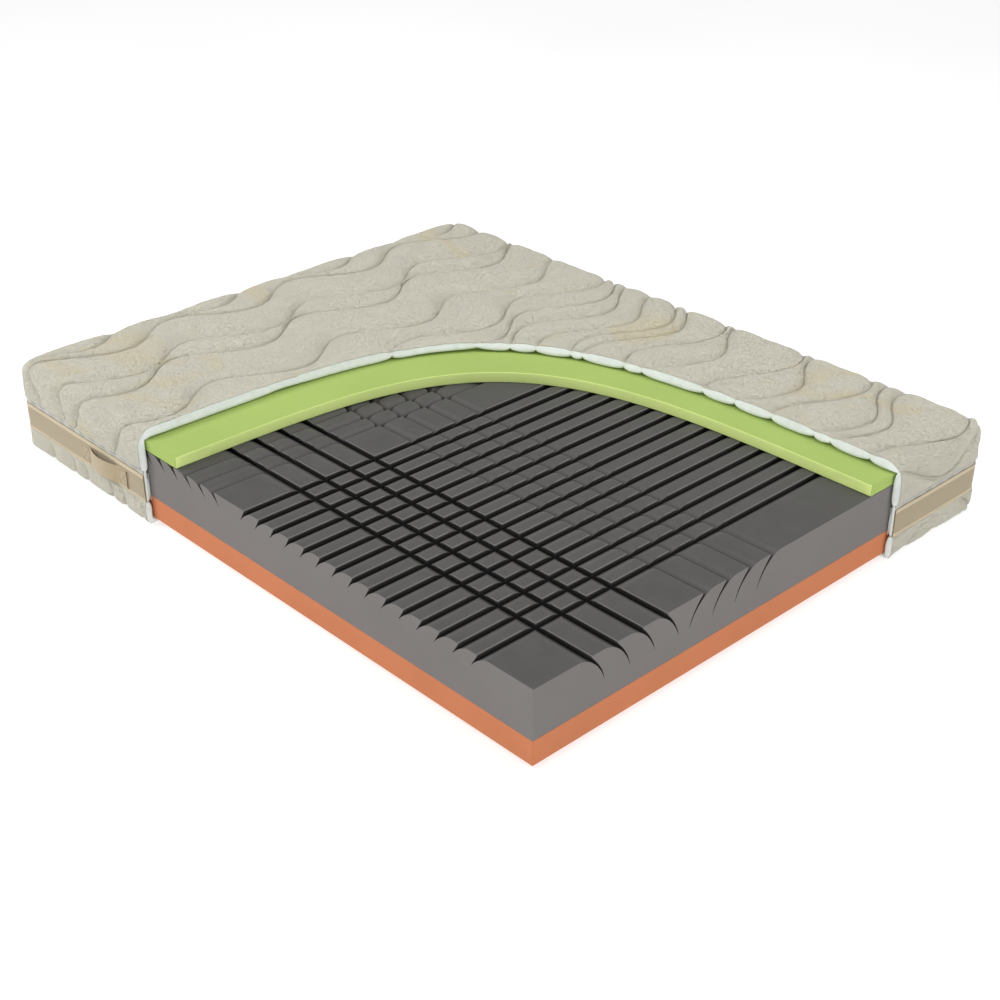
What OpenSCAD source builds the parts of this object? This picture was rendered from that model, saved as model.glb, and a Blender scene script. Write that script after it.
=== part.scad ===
// Memory foam mattress with a zip-off quilted cover, cut back at one corner so
// that its foam layers show.
// X runs along the length, Y across the width and Z up. The origin is on the
// floor under the middle. The cut-back corner is at +X, -Y.

/* [Mattress] */
// Length of the covered mattress
length = 2000; // [1900:10:2200]
// Width of the covered mattress
width = 1600; // [1400:10:1800]

/* [Foam layers] */
// Thickness of the firm base foam
base_h = 64; // [50:1:90]
// Thickness of the slotted core foam
core_h = 127; // [115:1:160]
// Thickness of the memory foam comfort layer
comfort_h = 30; // [20:1:60]

/* [Core slots] */
// Spacing of the slots that run across the width
cross_pitch = 57.1; // [57:0.1:60]
// Slots across the width that lean towards the cut-back end
cross_front_count = 15; // [10:1:15]
// Slots across the width that lean the other way
cross_rear_count = 13; // [5:1:13]
// Distance of the first cross slot's root from the cut-back end
cross_first = 182; // [150:1:182]
// Distance of the first opposite cross slot's root from the cut-back end
cross_turn = 1064; // [1064:1:1070]
// Depth of the cross slots
cross_depth = 35; // [20:1:45]
// Spacing of the slots that run along the length
long_pitch = 76.3; // [76:0.1:80]
// Slots along the length in each of the two leaning groups
long_count = 4; // [2:1:4]
// Distance of the first long slot's root from the cut-back side
long_first = 205; // [180:1:205]
// Distance of the first opposite long slot's root from the cut-back side
long_turn = 469; // [469:1:500]
// Depth of the long slots
long_depth = 77; // [50:1:85]

/* [Cover] */
// Thickness of the quilted top panel
top_quilt = 26; // [20:1:35]
// Thickness of the quilted bottom panel
bottom_quilt = 15; // [12:1:25]
// Thickness of the quilted side walls
side_quilt = 20; // [18:1:25]
// Thickness of the knitted ticking
ticking = 2; // [1:0.5:2.5]
// Thickness of the backing cloth inside the quilt
backing = 1; // [0.5:0.5:1.5]
// Radius of the cover's corners seen from above
corner_r = 45; // [42:1:46]
// Radius of the rolled top edge
top_edge_r = 40; // [30:1:40]
// Radius of the bottom edge
bottom_edge_r = 16; // [8:1:25]

/* [Cut-back corner] */
// Reach of the cover's cut along the length
cover_cut_x = 1375; // [1340:5:1400]
// Reach of the cover's cut across the width
cover_cut_y = 1205; // [1180:5:1230]
// Reach of the comfort layer's cut along the length
comfort_cut_x = 1240; // [1150:5:1300]
// Reach of the comfort layer's cut across the width
comfort_cut_y = 1112; // [1000:5:1150]
// Squareness of both cuts, 2 for an ellipse
cut_power = 3.8; // [2:0.1:5]

/* [Border] */
// Height of the band's lower edge above the floor
band_z = 65; // [60:1:68]
// Height of the mesh band
band_h = 75; // [75:1:78]
// Height of the binding tape along the band's lower edge
low_tape_h = 8; // [5:0.5:8]
// Height of the binding tape along the band's upper edge
high_tape_h = 10; // [5:0.5:12]
// Height of the gap that the zip closes
zip_gap = 11; // [11:0.5:13]

/* [Handles] */
// Distance of each handle's middle from the middle of the long side
handle_x = 578; // [500:1:650]
// Width of the handle webbing
strap_w = 50; // [30:1:50]
// Length of each sewn end
sewn_len = 46; // [30:1:60]
// Free length between the sewn ends
free_len = 132; // [120:1:150]
// Distance that the middle of the strap stands off
strap_bow = 22; // [18:1:26]

/* [Zip] */
// Length of the pull tab from its crossbar
pull_len = 30; // [20:1:34]

/* [Hidden] */

over = 5;                               // how far a cutter runs past what it cuts
foam_l = length - 2 * side_quilt;
foam_w = width - 2 * side_quilt;
base_z = bottom_quilt;
core_z = base_z + base_h;
comfort_z = core_z + core_h;
foam_top = comfort_z + comfort_h;
top_z = foam_top + top_quilt;
zip_z = band_z + band_h;                // underside of the zip gap
shell_z = zip_z + zip_gap;              // lower edge of the upper quilt
zip_mid = zip_z + zip_gap / 2;

cross_lip = 21;                         // how far a cross slot leans over its depth
cross_reach = 57;                       // width of a cross slot with its shoulder
long_lip = 43;
long_reach = 82;
slot_steps = 6;                         // straight steps on each side of a slot
cut_steps = 40;                         // straight steps round a corner cut

hem_reach = 10;                         // how far the ticking turns in at the zip
band_inset = 4;                         // face of the mesh band, in from the quilt
mesh_t = 3;
tape_t = 1.2;
coil_w = 2.6;
coil_t = 1.8;
stitch_gap = 0.2;                       // between the two halves of the zip

strap_t = 2.4;
sewn_t = 3;
arm_gap = 0.4;                          // between the swinging strap and its ends
moving_half = 44;                       // half length of the part that swings
strap_mid = 98.5;
bartack_w = 4;
bartack_t = 1.2;

slider_x = length / 2 - corner_r - 30;
slider_len = 13;
slider_w = 8.6;
plate_t = 1;
run_gap = 0.3;                          // running clearance round the zip's chain
plate_low = coil_t + run_gap;
plate_top = plate_low + plate_t;
arch_len = 7.2;
arch_w = 2.4;
arch_h = 1.9;
eye_w = 3.4;
eye_len = 6;
pull_w = 6.4;
bar_r = 0.6;
pull_level = plate_top + run_gap + bar_r;

// ---- Outlines ----

// Void of one relief slot, with its root at the origin and leaning towards +X.
// The near wall is undercut and ends in a lip; the far wall is a round shoulder.
function slot_void(depth, lip, reach, wall_power, shoulder_power) = concat(
    [for (i = [0:slot_steps])
        let (t = i / slot_steps)
        [lip * pow(t, wall_power), depth * t]],
    [[lip, depth + over], [reach, depth + over]],
    [for (i = [0:slot_steps - 1])
        let (s = i / slot_steps)
        [reach * (1 - s), depth * pow(1 - s * s, shoulder_power)]]
);

cross_void = slot_void(cross_depth, cross_lip, cross_reach, 1, 1);
long_void = slot_void(long_depth, long_lip, long_reach, 1.7, 0.75);

// Region taken off the corner, measured inwards from the foam's own corner
function corner_cut(reach_x, reach_y) = concat(
    [[-2 * side_quilt, -2 * side_quilt], [reach_x, -2 * side_quilt]],
    [for (i = [0:cut_steps])
        let (a = 90 * i / cut_steps)
        [reach_x * pow(cos(a), 2 / cut_power), reach_y * pow(sin(a), 2 / cut_power)]],
    [[-2 * side_quilt, reach_y]]
);

module cut_away(reach_x, reach_y) {
    translate([foam_l / 2, -foam_w / 2, -over])
        mirror([1, 0, 0])
            linear_extrude(top_z + 2 * over)
                polygon(corner_cut(reach_x, reach_y));
}

module cover_cut() {
    cut_away(cover_cut_x, cover_cut_y);
}

// ---- Shapes swept round the cover ----

// Profile points are [distance in from the cover's outer face, height]
module round_border(points) {
    for (side = [0, 180]) {
        rotate(side)
            border_run(points, length / 2, width - 2 * corner_r);
        rotate(side + 90)
            border_run(points, width / 2, length - 2 * corner_r);
    }
    for (sx = [0, 1], sy = [0, 1])
        mirror([sx, 0, 0])
            mirror([0, sy, 0])
                translate([length / 2 - corner_r, width / 2 - corner_r, 0])
                    rotate_extrude(angle = 90)
                        polygon([for (p = points) [corner_r - p[0], p[1]]]);
}

module border_run(points, face, run) {
    translate([face, run / 2, 0])
        rotate([90, 0, 0])
            linear_extrude(run)
                polygon([for (p = points) [-p[0], p[1]]]);
}

module border_strip(inset, thickness, z, height) {
    difference() {
        round_border([[inset, z], [inset + thickness, z],
            [inset + thickness, z + height], [inset, z + height]]);
        cover_cut();
    }
}

// Solid block with rounded corners and a rolled top edge
module upper_block(inset, z) {
    r = top_edge_r - inset;
    roll = [for (a = [180:-10:90])
        [top_edge_r + r * cos(a), top_z - top_edge_r + r * sin(a)]];
    round_border(concat([[inset, z]], roll, [[corner_r, top_z - inset], [corner_r, z]]));
    middle_slab(z, top_z - inset);
}

// Solid block with rounded corners and a rolled bottom edge
module lower_block(inset, z) {
    r = bottom_edge_r - inset;
    roll = [for (a = [180:10:270])
        [bottom_edge_r + r * cos(a), bottom_edge_r + r * sin(a)]];
    round_border(concat([[inset, z]], roll, [[corner_r, inset], [corner_r, z]]));
    middle_slab(inset, z);
}

module middle_slab(z_low, z_high) {
    translate([-length / 2 + corner_r, -width / 2 + corner_r, z_low])
        cube([length - 2 * corner_r, width - 2 * corner_r, z_high - z_low]);
}

// Box round the foam, larger than it by a margin on every side
module foam_box(margin, z_low, z_high) {
    translate([-foam_l / 2 - margin, -foam_w / 2 - margin, z_low])
        cube([foam_l + 2 * margin, foam_w + 2 * margin, z_high - z_low]);
}

// ---- Foam ----

module base_foam() {
    color("#cf825d")
        foam_box(0, base_z, core_z);
}

module core_foam() {
    color("#645f60")
        difference() {
            translate([0, foam_w / 2, core_z])
                rotate([90, 0, 0])
                    linear_extrude(foam_w)
                        cross_section();
            long_slots(long_first, 1);
            long_slots(long_turn, -1);
        }
}

// The core seen from the side, with the slots that run across the width
module cross_section() {
    difference() {
        translate([-foam_l / 2, 0])
            square([foam_l, core_h]);
        cross_slots(cross_first, cross_front_count, 1);
        cross_slots(cross_turn, cross_rear_count, -1);
    }
}

module cross_slots(first, count, lean) {
    for (i = [0:count - 1])
        translate([foam_l / 2 - first - i * cross_pitch, core_h - cross_depth])
            scale([lean, 1])
                polygon(cross_void);
}

module long_slots(first, lean) {
    for (i = [0:long_count - 1])
        translate([foam_l / 2 + over, -foam_w / 2 + first + i * long_pitch, 0])
            mirror([0, lean > 0 ? 1 : 0, 0])
                translate([0, 0, comfort_z - long_depth])
                    rotate([90, 0, -90])
                        mirror([1, 0, 0])
                            linear_extrude(foam_l + 2 * over)
                                polygon(long_void);
}

module comfort_foam() {
    color("#a7bf6c")
        difference() {
            foam_box(0, comfort_z, foam_top);
            cut_away(comfort_cut_x, comfort_cut_y);
        }
}

// ---- Upper quilt: top panel and the wall down to the zip ----

module top_ticking() {
    color("#d8d3be")
        difference() {
            upper_block(0, shell_z);
            upper_block(ticking, shell_z + ticking);
            foam_box(side_quilt - hem_reach, shell_z - over, foam_top);
            cover_cut();
        }
}

module top_wadding() {
    color("#e2ebe4")
        difference() {
            upper_block(ticking, shell_z + ticking);
            foam_box(backing, shell_z - over, foam_top + backing);
            cover_cut();
        }
}

module top_backing() {
    color("#e9e9e4")
        difference() {
            foam_box(backing, shell_z, foam_top + backing);
            foam_box(0, shell_z - over, foam_top);
            cover_cut();
        }
}

// ---- Zip ----

zip_inset = band_inset + mesh_t;        // outer face of the zip tape
tape_h = (zip_gap - stitch_gap) / 2;

module zip_upper_tape() {
    color("#eef0ee")
        border_strip(zip_inset, tape_t, shell_z - tape_h, tape_h);
}

module zip_lower_tape() {
    color("#eef0ee")
        border_strip(zip_inset, tape_t, zip_z, tape_h);
}

// The chain stops short of the end stops
module coil(z) {
    color("#c9ccd0")
        difference() {
            border_strip(zip_inset - coil_t, coil_t, z, coil_w);
            stop_block(over, over);
        }
}

module zip_upper_coil() {
    coil(zip_mid + stitch_gap / 2);
}

module zip_lower_coil() {
    coil(zip_mid - stitch_gap / 2 - coil_w);
}

stop_x = slider_x + slider_len / 2 + 3;

// Block that ends the chain, grown by a margin along Y and Z
module stop_block(grow_y, grow_z) {
    height = 2 * coil_w + stitch_gap;
    translate([stop_x, width / 2 - zip_inset - grow_y, zip_mid - height / 2 - grow_z])
        cube([3, coil_t + 2 * grow_y, height + 2 * grow_z]);
}

module zip_stops() {
    color("#b9bcc0")
        stop_block(0, 0);
}

// Places a shape drawn flat so that it stands on the zip tape of the +Y side
module on_zip() {
    translate([slider_x, width / 2 - zip_inset, zip_mid])
        rotate([-90, 0, 0])
            children();
}

module zip_slider() {
    color("#c4c6c9")
        on_zip() {
            slider_plate();
            slider_flanges();
            slider_arch();
        }
}

// The plate is wider at its mouth than at its tail
module slider_plate() {
    half = slider_len / 2;
    wide = slider_w / 2;
    tail = wide - 0.9;
    translate([0, 0, plate_low])
        linear_extrude(plate_t)
            polygon([[-half, -wide + 0.6], [-half + 0.8, -wide], [0, -wide], [half, -tail],
                [half, tail], [0, wide], [-half + 0.8, wide], [-half, wide - 0.6]]);
}

module slider_flanges() {
    for (side = [0, 1])
        mirror([0, side, 0])
            translate([-slider_len / 2 + 0.8, slider_w / 2 - 0.8, run_gap])
                cube([slider_len / 2 - 0.8, 0.8, plate_top - run_gap]);
}

module slider_arch() {
    difference() {
        translate([-arch_len / 2, -arch_w / 2, plate_top - 0.01])
            cube([arch_len, arch_w, arch_h + 1]);
        translate([-arch_len / 2 + 1, -arch_w, plate_top - over])
            cube([arch_len - 2, 2 * arch_w, over + arch_h]);
    }
}

module zip_pull() {
    color("#b4b6ba")
        on_zip() {
            translate([0, 0, pull_level - bar_r])
                linear_extrude(2 * bar_r)
                    pull_outline();
            translate([0, pull_w / 2, pull_level])
                rotate([90, 0, 0])
                    cylinder(r = bar_r, h = pull_w, $fn = 32);
        }
}

module pull_outline() {
    difference() {
        union() {
            translate([-pull_len + pull_w / 2, -pull_w / 2])
                square([pull_len - pull_w / 2, pull_w]);
            translate([-pull_len + pull_w / 2, 0])
                circle(d = pull_w, $fn = 48);
        }
        translate([-bar_r - eye_len, -eye_w / 2])
            square([eye_len, eye_w]);
        translate([-bar_r, -eye_w / 2])
            square([over, eye_w]);
        translate([-pull_len + 4, 0])
            circle(d = 2.4, $fn = 24);
    }
}

// ---- Mesh band with its binding tapes ----

module band_mesh() {
    color("#c6b491")
        border_strip(band_inset, mesh_t, band_z, band_h);
}

module band_upper_tape() {
    color("#cfbb98")
        border_strip(band_inset - tape_t, tape_t, zip_z - high_tape_h, high_tape_h);
}

module band_lower_tape() {
    color("#cfbb98")
        border_strip(band_inset - tape_t, tape_t, band_z, low_tape_h);
}

module band_wadding() {
    color("#e2ebe4")
        wall_filling(zip_inset, band_z, zip_z);
}

module band_backing() {
    color("#e9e9e4")
        wall_lining(band_z, shell_z);
}

// Filling between a wall's outer cloth and its backing
module wall_filling(inset, z_low, z_high) {
    difference() {
        round_border([[inset, z_low], [corner_r, z_low], [corner_r, z_high], [inset, z_high]]);
        foam_box(backing, z_low - over, z_high + over);
        cover_cut();
    }
}

module wall_lining(z_low, z_high) {
    difference() {
        foam_box(backing, z_low, z_high);
        foam_box(0, z_low - over, z_high + over);
        cover_cut();
    }
}

// ---- Lower quilt: the wall below the band ----

module lower_ticking() {
    color("#d3cfbc")
        difference() {
            lower_block(0, band_z);
            lower_block(ticking, band_z + over);
            middle_region();
            cover_cut();
        }
}

module lower_wadding() {
    color("#e2ebe4")
        difference() {
            lower_block(ticking, band_z);
            foam_box(backing, base_z - backing, band_z + over);
            middle_region();
            cover_cut();
        }
}

module lower_backing() {
    color("#e9e9e4")
        wall_lining(base_z, band_z);
}

// Everything inside the bottom edge, which belongs to the bottom panel
module middle_region() {
    translate([0, 0, -over])
        linear_extrude(band_z)
            panel_outline();
}

// Outline of the bottom panel, inside the seam that joins it to the wall
module panel_outline() {
    seam = side_quilt;
    difference() {
        square([length - 2 * seam, width - 2 * seam], center = true);
        for (sx = [0, 1], sy = [0, 1])
            mirror([sx, 0, 0])
                mirror([0, sy, 0])
                    corner_trim(corner_r - seam, length / 2 - seam, width / 2 - seam);
    }
}

module corner_trim(r, x, y) {
    difference() {
        translate([x - r, y - r])
            square([r + over, r + over]);
        translate([x - r, y - r])
            circle(r = r, $fn = 64);
    }
}

module bottom_layer(z_low, z_high) {
    difference() {
        translate([0, 0, z_low])
            linear_extrude(z_high - z_low)
                panel_outline();
        cover_cut();
    }
}

module bottom_ticking() {
    color("#d3cfbc")
        bottom_layer(0, ticking);
}

module bottom_wadding() {
    color("#e2ebe4")
        bottom_layer(ticking, bottom_quilt - backing);
}

module bottom_backing() {
    color("#e9e9e4")
        bottom_layer(bottom_quilt - backing, bottom_quilt);
}

// ---- Handles ----

strap_r = (pow(free_len / 2, 2) + pow(strap_bow, 2)) / (2 * strap_bow);

// Distance that the strap's inner face stands off at a place along it
function stand_off(x, r) = sqrt(r * r - x * x) + strap_bow - strap_r;

// Strap between two places along it, seen from above
function strap_arc(x0, x1) =
    let (steps = 8)
    concat(
        [for (i = [0:steps])
            let (x = x0 + (x1 - x0) * i / steps)
            [x, stand_off(x, strap_r)]],
        [for (i = [steps:-1:0])
            let (x = x0 + (x1 - x0) * i / steps)
            [x, stand_off(x, strap_r + strap_t)]]
    );

// Places a handle drawn from above on the band: side 1 is +Y and side -1 is -Y
module on_band(x, side) {
    mirror([0, side < 0 ? 1 : 0, 0])
        translate([x, width / 2 - band_inset, strap_mid - strap_w / 2])
            linear_extrude(strap_w)
                children();
}

module strap(x, side) {
    color("#cdbb97")
        on_band(x, side)
            polygon(strap_arc(-moving_half, moving_half));
}

module sewn_ends(x, side) {
    color("#d2c19e")
        on_band(x, side)
            for (end = [0, 1])
                mirror([end, 0])
                    union() {
                        translate([free_len / 2, 0])
                            square([sewn_len, sewn_t]);
                        polygon(strap_arc(moving_half + arm_gap, free_len / 2));
                    }
}

// Dense bar of stitches at the handle's end nearer the middle of the side
module bartack(x, side) {
    inner = x > 0 ? -1 : 1;
    color("#4a3526")
        on_band(x, side)
            translate([inner * (free_len / 2 + sewn_len - bartack_w) - bartack_w / 2, sewn_t])
                square([bartack_w, bartack_t]);
}

module handle_front_strap() {
    strap(-handle_x, -1);
}

module handle_front_ends() {
    sewn_ends(-handle_x, -1);
}

module handle_front_bartack() {
    bartack(-handle_x, -1);
}

module handle_left_strap() {
    strap(-handle_x, 1);
}

module handle_left_ends() {
    sewn_ends(-handle_x, 1);
}

module handle_left_bartack() {
    bartack(-handle_x, 1);
}

module handle_right_strap() {
    strap(handle_x, 1);
}

module handle_right_ends() {
    sewn_ends(handle_x, 1);
}

module handle_right_bartack() {
    bartack(handle_x, 1);
}

base_foam();
core_foam();
comfort_foam();
top_ticking();
top_wadding();
top_backing();
zip_upper_tape();
zip_upper_coil();
zip_lower_coil();
zip_lower_tape();
zip_stops();
zip_slider();
zip_pull();
band_upper_tape();
band_mesh();
band_lower_tape();
band_wadding();
band_backing();
lower_ticking();
lower_wadding();
lower_backing();
bottom_ticking();
bottom_wadding();
bottom_backing();
handle_front_strap();
handle_front_ends();
handle_front_bartack();
handle_left_strap();
handle_left_ends();
handle_left_bartack();
handle_right_strap();
handle_right_ends();
handle_right_bartack();
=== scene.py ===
import math

import bmesh
import bpy
import numpy as np
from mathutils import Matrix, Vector, noise


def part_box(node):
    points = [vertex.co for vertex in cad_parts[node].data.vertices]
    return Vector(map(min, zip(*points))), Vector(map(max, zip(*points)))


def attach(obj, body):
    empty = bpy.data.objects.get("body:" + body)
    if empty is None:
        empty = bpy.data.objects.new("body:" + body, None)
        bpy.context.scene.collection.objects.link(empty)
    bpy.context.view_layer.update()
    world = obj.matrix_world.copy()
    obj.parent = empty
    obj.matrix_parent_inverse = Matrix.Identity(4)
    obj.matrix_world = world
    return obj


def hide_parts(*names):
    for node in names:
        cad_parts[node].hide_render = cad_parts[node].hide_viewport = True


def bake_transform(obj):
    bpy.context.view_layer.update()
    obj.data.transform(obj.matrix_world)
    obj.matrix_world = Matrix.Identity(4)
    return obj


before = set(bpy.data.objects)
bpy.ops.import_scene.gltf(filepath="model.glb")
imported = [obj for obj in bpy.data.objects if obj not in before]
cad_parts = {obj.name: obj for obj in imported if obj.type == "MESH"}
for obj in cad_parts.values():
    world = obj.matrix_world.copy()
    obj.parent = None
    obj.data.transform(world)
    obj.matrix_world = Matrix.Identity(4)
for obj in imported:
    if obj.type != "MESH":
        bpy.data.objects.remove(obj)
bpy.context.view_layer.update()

# ---------------------------------------------------------------- sizes, in metres

MM = 0.001
FACE_LOW, FACE_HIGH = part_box("top_ticking")
FOAM_LOW, FOAM_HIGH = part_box("base_foam")
CORE_LOW, CORE_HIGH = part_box("core_foam")
COMFORT_LOW, COMFORT_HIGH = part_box("comfort_foam")
BAND_LOW, BAND_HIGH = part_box("band_mesh")

HALF_L = FACE_HIGH.x                     # half the covered length
HALF_W = FACE_HIGH.y                     # half the covered width
TOP = FACE_HIGH.z
HEM = FACE_LOW.z                         # lower edge of the upper quilt
FOAM_TOP = COMFORT_HIGH.z
SIDE = HALF_L - FOAM_HIGH.x              # thickness of the side walls
BAND_INSET = HALF_L - BAND_HIGH.x
BAND_T = 3 * MM

CORNER = 45 * MM                         # cover's corner seen from above
TOP_ROLL = 40 * MM
BOTTOM_ROLL = 16 * MM
HEM_ROLL = 6 * MM

# The cut-back corner, measured along the length and the width from the foam's corner
CUT_POWER = 3.8
COVER_CUT = (1.375, 1.205)
COMFORT_CUT = (1.240, 1.112)
CUT_LEFT = FOAM_HIGH.x - COVER_CUT[0]    # where the cut meets the long side
CUT_RIGHT = FOAM_LOW.y + COVER_CUT[1]    # where the cut meets the short side

# Quilting: each line is a wave along Y with (place in X, place in Y of a crest)
WAVE_LENGTH = 0.427
WAVE_HEIGHT = 0.045
WAVE_SKEW = 0.36
TOP_LINES = [
    (-1.060, 0.600), (-0.968, 0.665), (-0.900, 0.745), (-0.740, 0.700), (-0.668, 0.612),
    (-0.480, 0.602), (-0.330, 0.720), (-0.248, 0.660), (-0.175, 0.600), (-0.078, 0.590),
    (0.002, 0.650), (0.050, 0.640), (0.152, 0.700), (0.242, 0.590), (0.420, 0.705),
    (0.514, 0.580), (0.642, 0.705), (0.754, 0.570), (0.802, 0.566), (0.948, 0.690),
    (1.040, 0.630),
]
LOWER_CREST = 0.481
LOWER_LINES = [(place, LOWER_CREST) for place in (
    -1.045, -0.900, -0.789, -0.726, -0.606, -0.546, -0.455, -0.300,
    -0.130, 0.040, 0.200, 0.360, 0.520, 0.680, 0.830)] + [(1.030, 0.660)]

TICKING_T = 1.6 * MM
CUT_EASE = 45 * MM                       # creases fade this far from the cut edge
CUT_PINCH = 0.45                         # how much the cut wadding thins at a line
CUT_BULGE = 10 * MM                      # how far cut wadding swells out
HEM_T = 12 * MM                          # thickness of the quilt where it meets the zip
PUFF_REACH = 52 * MM                     # how far a puff's rounding runs from its line
STITCH_PITCH = 5 * MM
TOP_SINK = 0.6                           # depth of a crease as a share of the thickness
LOWER_SINK = 0.6
BOTTOM_T = 15 * MM                       # thickness of the quilt under the foam
# Pitch and share of the grey dashes of painted shadow on the zip tape.
ZIP_DASH_PITCH = 50 * MM
ZIP_DASH_SHARE = 0.52                    # how much of each pitch the dash takes
COIL_PITCH = 2.2 * MM
COIL_HALF = 0.9 * MM                     # half the coil's thickness
TAPE_T = 1.2 * MM                        # thickness of the binding and zip tapes
BAND_CROWN = 1.5 * MM                    # how far the stuffed band is domed
BACKING_T = 0.8 * MM


# ---------------------------------------------------------------- mesh helpers

def plain_mesh(name, verts, faces):
    """Mesh from points and faces."""
    mesh = bpy.data.meshes.new(name)
    mesh.from_pydata(np.asarray(verts, float).tolist(), [], faces)
    return mesh


def add_object(name, data):
    """Object for a mesh, light or camera, placed in the scene."""
    obj = bpy.data.objects.new(name, data)
    bpy.context.scene.collection.objects.link(obj)
    return obj


def new_mesh(name, verts, faces, body, material, smooth=True, sharp_angle=None):
    """Mesh object that rides on a body and takes its finish from a slot."""
    mesh = plain_mesh(name, verts, faces)
    mesh.validate()
    mesh.update()
    if smooth:
        mesh.shade_smooth()
    if sharp_angle is not None:
        shade_edges(mesh, lambda edge: bend(edge) < math.radians(sharp_angle))
    obj = add_object(name, mesh)
    for m in material if isinstance(material, list) else [material]:
        mesh.materials.append(m)
    if body:
        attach(obj, body)
    return obj


def set_weave(obj, places):
    """Stores the place along and across a woven strip at each point."""
    layer = obj.data.attributes.new("weave", "FLOAT_VECTOR", "POINT")
    layer.data.foreach_set("vector", np.asarray(places, np.float32).ravel())


def shade_edges(mesh, is_smooth):
    """Marks each edge smooth or sharp."""
    bm = bmesh.new()
    bm.from_mesh(mesh)
    for edge in bm.edges:
        edge.smooth = is_smooth(edge)
    bm.to_mesh(mesh)
    bm.free()


def bend(edge):
    """Angle between an edge's two faces. An open edge counts as folded right over."""
    return edge.calc_face_angle(0) if len(edge.link_faces) == 2 else math.pi


def fix_normals(mesh):
    """Turns every face outwards."""
    bm = bmesh.new()
    bm.from_mesh(mesh)
    bmesh.ops.recalc_face_normals(bm, faces=bm.faces)
    bm.to_mesh(mesh)
    bm.free()


def grid_faces(rows, cols, wrap_cols=False):
    """Quads of a grid of rows x cols points."""
    last = cols if wrap_cols else cols - 1
    return [
        (r * cols + c, r * cols + (c + 1) % cols, (r + 1) * cols + (c + 1) % cols, (r + 1) * cols + c)
        for r in range(rows - 1) for c in range(last)
    ]


def tube_faces(rows, cols):
    """Faces of a closed tube: the rings of points joined up, and a cap on each end."""
    first = tuple(reversed(range(cols)))
    last = tuple((rows - 1) * cols + c for c in range(cols))
    return grid_faces(rows, cols, wrap_cols=True) + [first, last]


def clip(keep, arrays, faces):
    """Cuts a mesh where keep turns negative. Returns the arrays, with a point on the
    cut for each edge that crosses it, the faces that are left and the cut points."""
    extra = {}
    pairs = []
    start = len(keep)
    result = []
    for face in faces:
        signs = [keep[i] >= 0 for i in face]
        if all(signs):
            result.append(tuple(face))
            continue
        if not any(signs):
            continue
        polygon = []
        for k, i in enumerate(face):
            j = face[(k + 1) % len(face)]
            if keep[i] >= 0:
                polygon.append(i)
            if (keep[i] >= 0) != (keep[j] >= 0):
                key = (min(i, j), max(i, j))
                if key not in extra:
                    extra[key] = start + len(pairs)
                    pairs.append(key)
                polygon.append(extra[key])
        if len(polygon) > 2:
            result.append(tuple(polygon))
    first = np.array([p[0] for p in pairs], int)
    second = np.array([p[1] for p in pairs], int)
    share = keep[first] / (keep[first] - keep[second])
    joined = []
    for a in arrays:
        t = share if a.ndim == 1 else share[:, None]
        joined.append(np.concatenate([a, a[first] * (1 - t) + a[second] * t]))
    used = np.unique(np.concatenate([np.array(f) for f in result]))
    renumber = np.full(start + len(pairs), -1)
    renumber[used] = np.arange(len(used))
    on_cut = np.zeros(start + len(pairs), bool)
    on_cut[start:] = True
    faces_left = [tuple(int(renumber[i]) for i in f) for f in result]
    return [a[used] for a in joined], faces_left, on_cut[used]


def closed_layer(outer, inner, faces, push=None, rim_steps=1):
    """Closed solid between two surfaces that share their faces. push moves the middle
    of the rim, so that a cut edge bulges."""
    count = len(outer)
    edges = {}
    for face in faces:
        for k, i in enumerate(face):
            j = face[(k + 1) % len(face)]
            if (j, i) in edges:
                del edges[(j, i)]
            else:
                edges[(i, j)] = True
    verts = [outer, inner]
    rim_of = {}
    rim_index = sorted({i for pair in edges for i in pair})
    for place, i in enumerate(rim_index):
        rim_of[i] = [i] + [
            2 * count + place * (rim_steps - 1) + k for k in range(rim_steps - 1)
        ] + [count + i]
    if rim_steps > 1:
        steps = np.arange(1, rim_steps) / rim_steps
        middle = []
        for i in rim_index:
            bulge = push[i] if push is not None else np.zeros(3)
            for t in steps:
                swell = math.sin(math.pi * t ** 1.9) ** 0.55
                middle.append(outer[i] * (1 - t) + inner[i] * t + bulge * swell)
        verts.append(np.array(middle))
    all_faces = [tuple(f) for f in faces]
    all_faces += [tuple(count + i for i in reversed(f)) for f in faces]
    for i, j in edges:
        for k in range(rim_steps):
            all_faces.append((rim_of[j][k], rim_of[i][k], rim_of[i][k + 1], rim_of[j][k + 1]))
    return np.concatenate(verts), all_faces


def beads(places, along, out, half_length, half_width, half_height):
    """Small rounded grains: stitches of thread, or the coils of a zip."""
    places, along, out = (np.asarray(a, float) for a in (places, along, out))
    side = np.cross(along, out)
    shape = [(-1, 0, 0), (1, 0, 0)]
    for t in (-0.6, 0.6):
        shape += [(t, 0.9, 0), (t, 0, 0.9), (t, -0.9, 0), (t, 0, -0.9)]
    grain = np.array(shape) * (half_length, half_width, half_height)
    verts = places[:, None, :] + along[:, None, :] * grain[:, 0:1]
    verts = verts + side[:, None, :] * grain[:, 1:2] + out[:, None, :] * grain[:, 2:3]
    pattern = []
    for k in range(4):
        n = (k + 1) % 4
        pattern += [(0, 2 + k, 2 + n), (2 + k, 6 + k, 6 + n, 2 + n), (6 + k, 1, 6 + n)]
    size = len(shape)
    faces = [tuple(i * size + v for v in f) for i in range(len(places)) for f in pattern]
    return verts.reshape(-1, 3), faces


# ---------------------------------------------------------------- shape of the cover

def cut_shares(x, y, reach):
    """Distances from the foam's corner as shares of the cut's reach."""
    return np.maximum(FOAM_HIGH.x - x, 0) / reach[0], np.maximum(y - FOAM_LOW.y, 0) / reach[1]


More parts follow.
